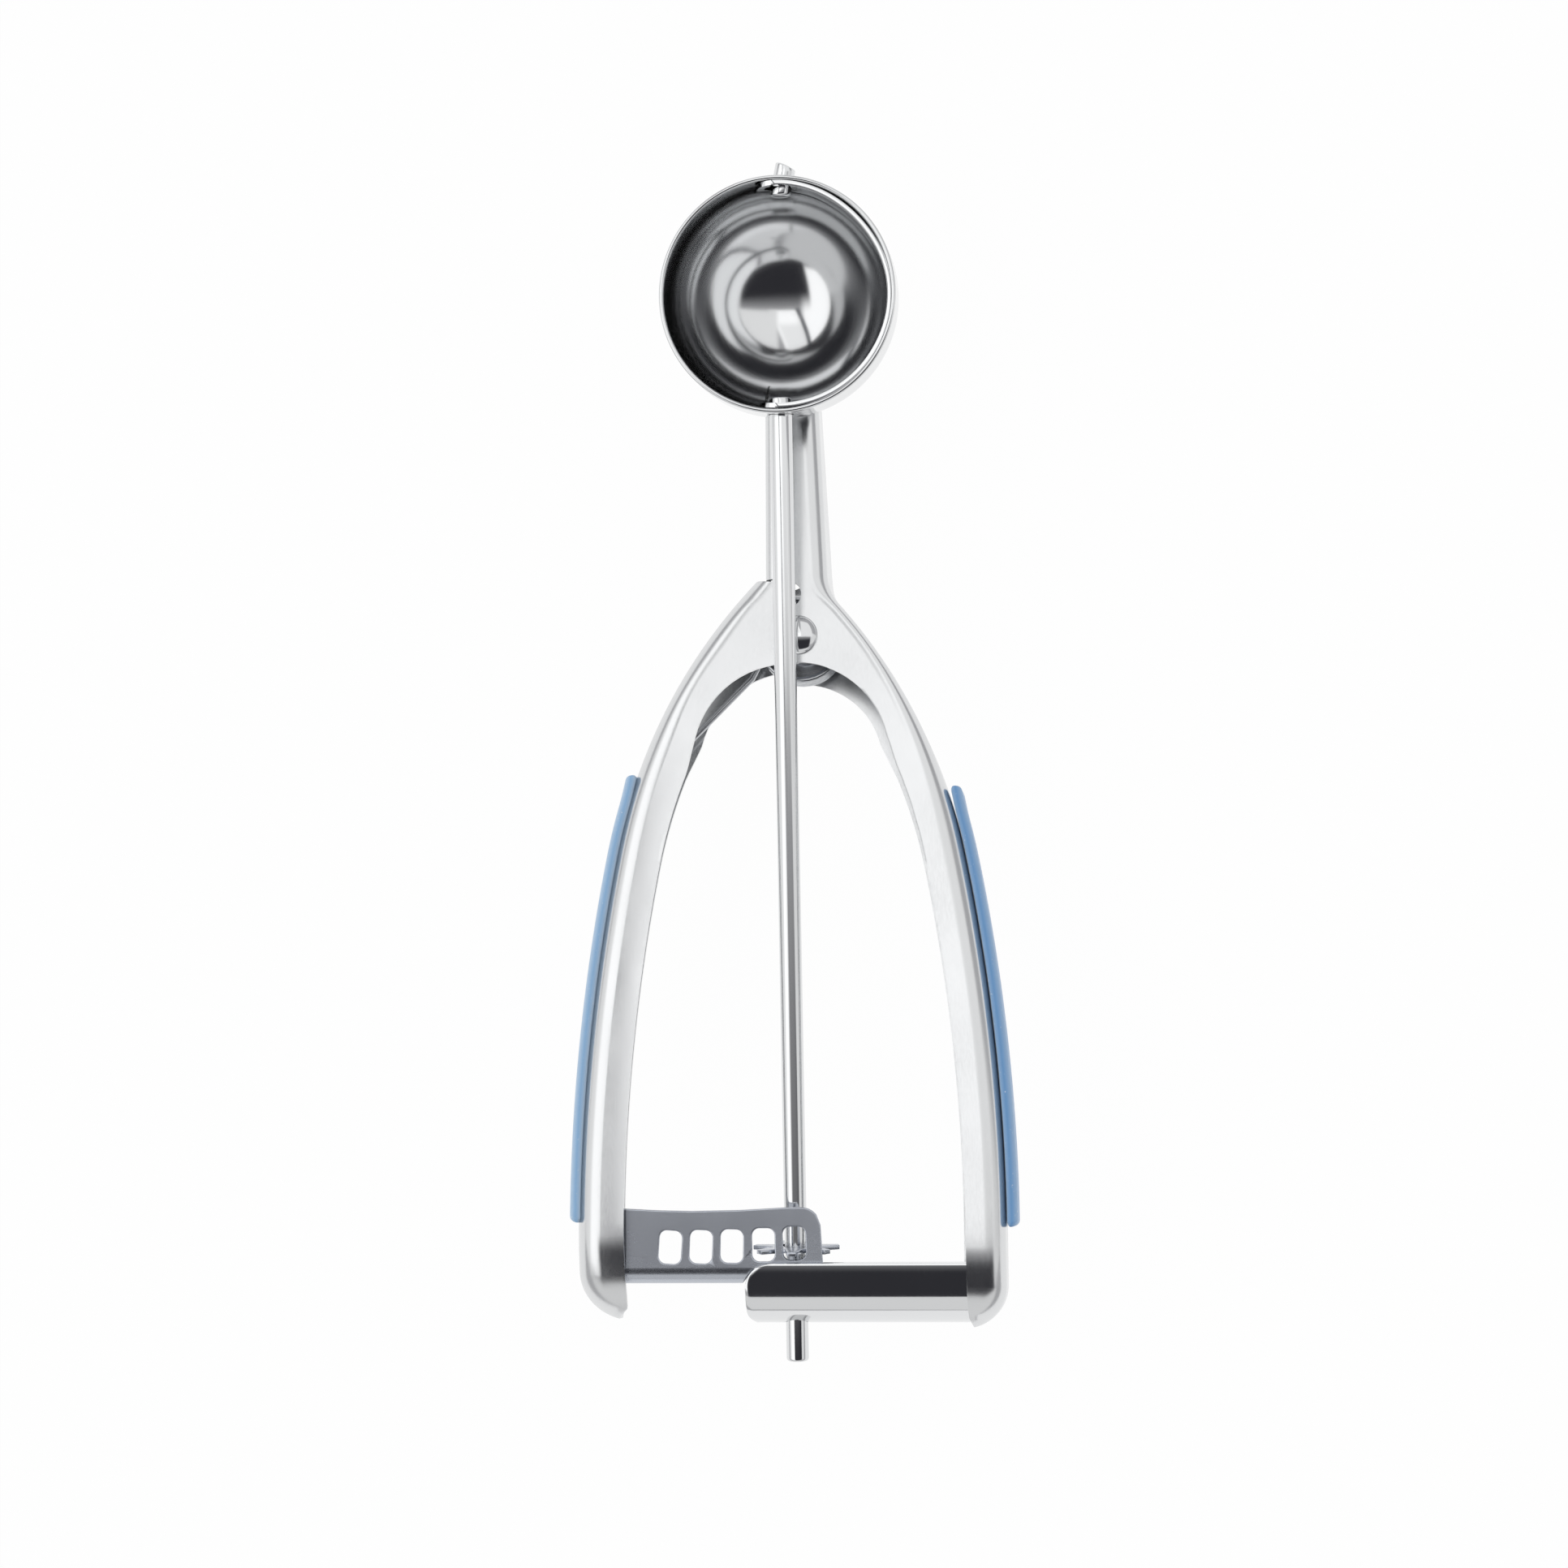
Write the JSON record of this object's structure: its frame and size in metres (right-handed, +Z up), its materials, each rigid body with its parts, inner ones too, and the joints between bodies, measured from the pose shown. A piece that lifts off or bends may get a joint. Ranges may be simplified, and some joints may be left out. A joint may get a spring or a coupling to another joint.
{
  "type": "lever ice cream scoop",
  "caption": "Squeeze-handle ice cream scoop: a round bowl with a sweeper band that a rack and pinion turns when its sprung handles are squeezed.",
  "frame": {"origin": "under the middle of the outline, on the level surface that the bowl's bottom touches", "axes": "+Y from the handles to the bowl along the shaft, +Z up out of the bowl, +X to the fixed right handle"},
  "size_m": [0.075, 0.201, 0.0327],
  "materials": {
    "polished_steel": "polished stainless steel",
    "satin_steel": "satin stainless steel",
    "spring_steel": "drawn wire",
    "blue_vinyl": "satin"
  },
  "bodies": {
    "frame": {"bowl": "polished_steel", "sweeper_pin": "polished_steel", "fixed_handle": "polished_steel", "crossbar": "polished_steel", "pivot_rivet": "polished_steel", "pivot_spacer": "satin_steel", "return_spring": "spring_steel", "right_grip": "blue_vinyl"},
    "lever": {"moving_handle": "polished_steel", "rack_plate": "satin_steel", "spring_left_leg": "spring_steel", "left_grip": "blue_vinyl"},
    "shaft": {"drive_shaft": "polished_steel", "pinion": "satin_steel", "sweeper_blade": "polished_steel"}
  },
  "joints": [
    {"name": "handle_squeeze", "type": "hinge", "parent": "frame", "child": "lever", "pos_m": [0.0018, 0.0213, 0.0186], "axis": [0, 0.1247, 0.9922], "range_deg": [0, 9.5], "stiffness_Nm_per_rad": 2, "springref_deg": -17.19},
    {"name": "shaft_turn", "type": "hinge", "parent": "frame", "child": "shaft", "pos_m": [0, 0, 0.0235], "axis": [0, 1, 0], "range_deg": [0, 168.2]}
  ],
  "couplings": [
    {"joint": "shaft_turn", "follows": "handle_squeeze", "ratio": 17.698}
  ]
}
